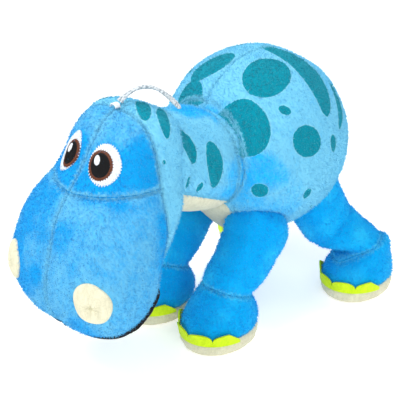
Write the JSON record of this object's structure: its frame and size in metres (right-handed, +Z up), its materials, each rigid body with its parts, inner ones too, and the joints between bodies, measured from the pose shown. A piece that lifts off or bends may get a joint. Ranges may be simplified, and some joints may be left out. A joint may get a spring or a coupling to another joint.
{
  "type": "stuffed dinosaur",
  "caption": "Standing plush long-necked dinosaur with a big drooping head, spotted back, padded feet with felt claws and a hanging loop on its crown.",
  "frame": {"origin": "middle of the plan box on the ground under the soles", "axes": "+Z up, +Y towards the tail, +X to the animal's left; the face looks along -Y"},
  "size_m": [0.1892, 0.3434, 0.2244],
  "materials": {
    "plush_blue": "short brushed plush",
    "plush_printed": "short plush printed light blue with teal spots",
    "plush_cream": "short cream plush",
    "felt_lime": "cut felt",
    "felt_black": "cut felt",
    "filling": "loose polyester fibre",
    "thread_white": "satin stitch embroidery",
    "thread_brown": "satin stitch embroidery",
    "thread_black": "satin stitch embroidery",
    "cord_white": "soft braided cord"
  },
  "bodies": {
    "torso": {"back_panel_left": "plush_printed", "back_panel_right": "plush_printed", "chest_panel": "plush_cream", "belly_panel": "plush_blue", "torso_filling": "filling"},
    "neck": {"neck_panel_left": "plush_printed", "neck_panel_right": "plush_printed", "throat_panel": "plush_cream", "neck_filling": "filling"},
    "head": {"nape_panel_left": "plush_printed", "nape_panel_right": "plush_printed", "brow_panel_left": "plush_blue", "brow_panel_right": "plush_blue", "snout_panel_left": "plush_blue", "snout_panel_right": "plush_blue", "chin_panel": "plush_blue", "nostril_left": "plush_cream", "nostril_right": "plush_cream", "head_filling": "filling", "sclera_left": "thread_white", "sclera_right": "thread_white", "glint_left": "thread_white", "glint_right": "thread_white", "loop_bar_tack": "thread_white", "iris_left": "thread_brown", "iris_right": "thread_brown", "pupil_left": "thread_black", "pupil_right": "thread_black", "mouth_line": "felt_black", "hang_loop": "cord_white"},
    "tail": {"tail_panel_upper": "plush_printed", "tail_panel_lower": "plush_printed", "tail_filling": "filling"},
    "front_left_leg": {"front_left_leg_sleeve": "plush_blue", "front_left_foot_upper": "plush_blue", "front_left_leg_filling": "filling", "front_left_sole": "plush_cream", "front_left_claws": "felt_lime"},
    "front_right_leg": {"front_right_leg_sleeve": "plush_blue", "front_right_foot_upper": "plush_blue", "front_right_leg_filling": "filling", "front_right_sole": "plush_cream", "front_right_claws": "felt_lime"},
    "hind_left_leg": {"hind_left_leg_sleeve": "plush_blue", "hind_left_foot_upper": "plush_blue", "hind_left_leg_filling": "filling", "hind_left_sole": "plush_cream", "hind_left_claws": "felt_lime"},
    "hind_right_leg": {"hind_right_leg_sleeve": "plush_blue", "hind_right_foot_upper": "plush_blue", "hind_right_leg_filling": "filling", "hind_right_sole": "plush_cream", "hind_right_claws": "felt_lime"}
  },
  "joints": [
    {"name": "neck_turn", "type": "hinge", "parent": "torso", "child": "neck", "pos_m": [-0.0045, -0.0007, 0.144], "axis": [0, 0, 1], "range_deg": [-12, 12]},
    {"name": "head_nod", "type": "hinge", "parent": "neck", "child": "head", "pos_m": [-0.0045, -0.0907, 0.162], "axis": [1, 0, 0], "range_deg": [-15, 6]},
    {"name": "tail_sway", "type": "hinge", "parent": "torso", "child": "tail", "pos_m": [-0.0045, 0.1133, 0.116], "axis": [0, 0, 1], "range_deg": [-14, 14]},
    {"name": "front_left_swing", "type": "hinge", "parent": "torso", "child": "front_left_leg", "pos_m": [0.0335, 0.0073, 0.082], "axis": [1, 0, 0], "range_deg": [-12, 15]},
    {"name": "front_right_swing", "type": "hinge", "parent": "torso", "child": "front_right_leg", "pos_m": [-0.0425, 0.0073, 0.082], "axis": [1, 0, 0], "range_deg": [-12, 15]},
    {"name": "hind_left_swing", "type": "hinge", "parent": "torso", "child": "hind_left_leg", "pos_m": [0.0345, 0.0853, 0.084], "axis": [1, 0, 0], "range_deg": [-15, 15]},
    {"name": "hind_right_swing", "type": "hinge", "parent": "torso", "child": "hind_right_leg", "pos_m": [-0.0435, 0.0853, 0.084], "axis": [1, 0, 0], "range_deg": [-15, 15]}
  ]
}
